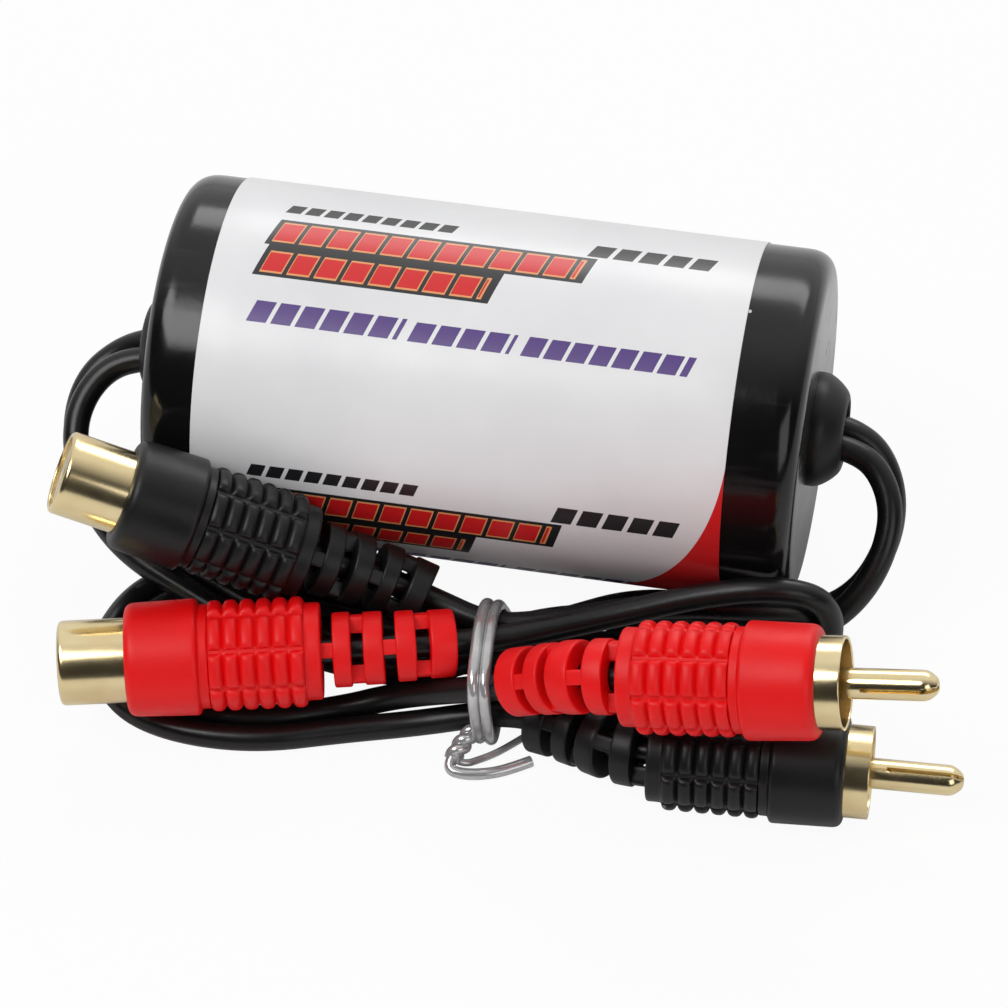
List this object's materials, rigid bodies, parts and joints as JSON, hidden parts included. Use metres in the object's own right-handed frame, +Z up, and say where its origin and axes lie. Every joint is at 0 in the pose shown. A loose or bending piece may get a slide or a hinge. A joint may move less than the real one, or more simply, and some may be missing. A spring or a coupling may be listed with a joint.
{
  "type": "ground loop isolator",
  "caption": "Round in-line ground loop isolator with a wrapped label, twin leads folded and tied, gold phono jacks on the left lead and gold phono plugs on the right.",
  "frame": {"origin": "on the surface the housing rests on, midway along the housing and under its axis", "axes": "+X to the right along the housing's axis, from the lead with the jacks to the lead with the plugs; +Y away from the viewer, from the tied leads to the housing's back; +Z up"},
  "size_m": [0.1031, 0.0632, 0.0383],
  "materials": {
    "housing_plastic": "black moulded plastic, glossy",
    "label_vinyl": "white printed vinyl with satin film",
    "grommet_rubber": "smooth black rubber",
    "board_laminate": "green laminate board",
    "core_steel": "stacked steel laminations",
    "bobbin_plastic": "natural nylon",
    "winding_tape": "taped enamelled wire",
    "clamp_steel": "tinned sheet steel",
    "tie_nylon": "natural nylon band",
    "lead_jacket": "black satin PVC jacket",
    "boot_red": "red moulded soft PVC",
    "boot_black": "black moulded soft PVC",
    "gold_plate": "polished pale gold plating",
    "insulator_plastic": "off-white moulded plastic",
    "tie_sleeve": "silver-grey plastic covered wire"
  },
  "bodies": {
    "root": {"left_shell": "housing_plastic", "right_shell": "housing_plastic", "label": "label_vinyl", "left_grommet": "grommet_rubber", "right_grommet": "grommet_rubber", "circuit_board": "board_laminate", "left_transformer_core": "core_steel", "left_transformer_bobbin": "bobbin_plastic", "left_transformer_primary": "winding_tape", "left_transformer_secondary": "winding_tape", "left_transformer_clamp": "clamp_steel", "right_transformer_core": "core_steel", "right_transformer_bobbin": "bobbin_plastic", "right_transformer_primary": "winding_tape", "right_transformer_secondary": "winding_tape", "right_transformer_clamp": "clamp_steel", "left_lead_tie": "tie_nylon", "right_lead_tie": "tie_nylon", "black_jack_lead": "lead_jacket", "red_jack_lead": "lead_jacket", "red_plug_lead": "lead_jacket", "black_plug_lead": "lead_jacket", "red_jack_boot": "boot_red", "red_jack_barrel": "gold_plate", "red_jack_insulator": "insulator_plastic", "red_jack_contact": "gold_plate", "black_jack_boot": "boot_black", "black_jack_barrel": "gold_plate", "black_jack_insulator": "insulator_plastic", "black_jack_contact": "gold_plate", "red_plug_boot": "boot_red", "red_plug_shell": "gold_plate", "red_plug_insulator": "insulator_plastic", "red_plug_pin": "gold_plate", "black_plug_boot": "boot_black", "black_plug_shell": "gold_plate", "black_plug_insulator": "insulator_plastic", "black_plug_pin": "gold_plate", "twist_tie": "tie_sleeve"}
  },
  "joints": []
}
